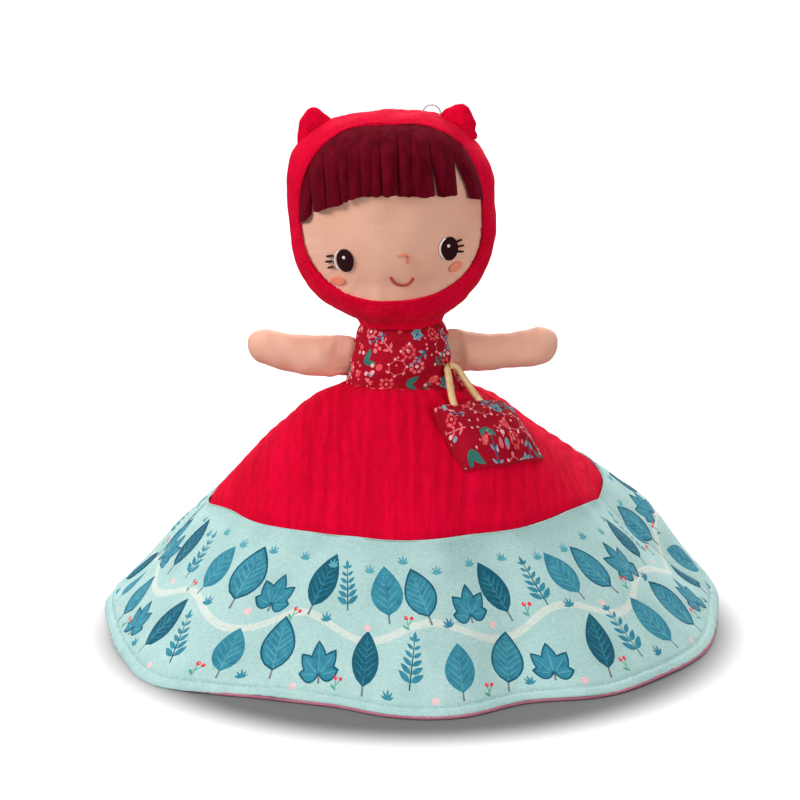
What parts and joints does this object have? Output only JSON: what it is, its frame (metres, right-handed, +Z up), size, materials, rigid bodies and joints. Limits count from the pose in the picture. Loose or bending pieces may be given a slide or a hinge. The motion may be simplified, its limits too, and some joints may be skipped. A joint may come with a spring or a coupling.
{
  "type": "topsy turvy doll",
  "caption": "Cloth doll with a hooded head above and a second doll upside down under a flared skirt that flips over either one.",
  "frame": {"origin": "the middle of the lower doll's flattened crown, on the table that the doll stands on", "axes": "+Z up through the waist and the upper doll's head; the upper doll faces -Y and its left hand points to +X"},
  "size_m": [0.3144, 0.307, 0.2577],
  "materials": {
    "red_cloth": "soft matt",
    "print_cloth": "printed cotton",
    "skin_cloth": "soft matt",
    "hair_cloth": "cut fleece",
    "aqua_cloth": "printed cotton",
    "pink_cloth": "plain cotton",
    "eye_thread": "embroidery thread",
    "cheek_thread": "embroidery thread",
    "mouth_thread": "embroidery thread",
    "handle_cord": "waxed cord",
    "inner_hair": "cut fleece"
  },
  "bodies": {
    "torso": {"bodice": "print_cloth", "inner_bodice": "pink_cloth", "skirt_front": "red_cloth", "skirt_back": "red_cloth", "band_front": "aqua_cloth", "band_back": "aqua_cloth", "lining_front": "pink_cloth", "lining_back": "pink_cloth", "bag_tack": "red_cloth"},
    "head": {"hood": "red_cloth", "ear_left": "red_cloth", "ear_right": "red_cloth", "face": "skin_cloth", "fringe": "hair_cloth", "eye_left": "eye_thread", "eye_right": "eye_thread", "cheek_left": "cheek_thread", "cheek_right": "cheek_thread", "nose": "cheek_thread", "mouth": "mouth_thread", "hang_loop": "handle_cord"},
    "arm_left": {"arm_left": "skin_cloth"},
    "arm_right": {"arm_right": "skin_cloth"},
    "inner_head": {"inner_bonnet": "pink_cloth", "inner_face": "skin_cloth", "inner_fringe": "inner_hair", "inner_eye_left": "eye_thread", "inner_eye_right": "eye_thread", "inner_cheek_left": "cheek_thread", "inner_cheek_right": "cheek_thread", "inner_nose": "cheek_thread", "inner_mouth": "mouth_thread"},
    "inner_arm_left": {"inner_arm_left": "skin_cloth"},
    "inner_arm_right": {"inner_arm_right": "skin_cloth"},
    "hem": {"hem_edge": "aqua_cloth"},
    "bag": {"bag_front": "print_cloth", "bag_back": "print_cloth", "bag_handle": "handle_cord"}
  },
  "joints": [
    {"name": "skirt_flip", "type": "slide", "parent": "torso", "child": "hem", "axis": [0, 0, 1], "range_m": [0, 0.232], "deforming": ["skirt_front", "skirt_back", "band_front", "band_back", "lining_front", "lining_back"]},
    {"name": "head_nod", "type": "hinge", "parent": "torso", "child": "head", "pos_m": [0, 0, 0.134], "axis": [1, 0, 0], "range_deg": [-12, 12], "stiffness_Nm_per_rad": 0.4},
    {"name": "arm_left_raise", "type": "hinge", "parent": "torso", "child": "arm_left", "pos_m": [0.02867, 0, 0.1305], "axis": [0, -1, 0], "range_deg": [-34, 40], "stiffness_Nm_per_rad": 0.08},
    {"name": "arm_right_raise", "type": "hinge", "parent": "torso", "child": "arm_right", "pos_m": [-0.02867, 0, 0.1305], "axis": [0, 1, 0], "range_deg": [-34, 40], "stiffness_Nm_per_rad": 0.08},
    {"name": "inner_head_nod", "type": "hinge", "parent": "torso", "child": "inner_head", "pos_m": [0, 0, 0.1], "axis": [1, 0, 0], "range_deg": [-10, 10], "stiffness_Nm_per_rad": 0.8},
    {"name": "inner_arm_left_raise", "type": "hinge", "parent": "torso", "child": "inner_arm_left", "pos_m": [-0.02674, 0, 0.0995], "axis": [0, 1, 0], "range_deg": [-12, 12], "stiffness_Nm_per_rad": 0.08},
    {"name": "inner_arm_right_raise", "type": "hinge", "parent": "torso", "child": "inner_arm_right", "pos_m": [0.02674, 0, 0.0995], "axis": [0, -1, 0], "range_deg": [-12, 12], "stiffness_Nm_per_rad": 0.08},
    {"name": "bag_lift", "type": "hinge", "parent": "torso", "child": "bag", "pos_m": [0.02406, -0.01481, 0.1285], "axis": [-0.7547, -0.6561, 0], "range_deg": [0, 35]}
  ],
  "couplings": [
    {"joint": "bag_lift", "follows": "skirt_flip", "rad_per_m": 2.6}
  ]
}
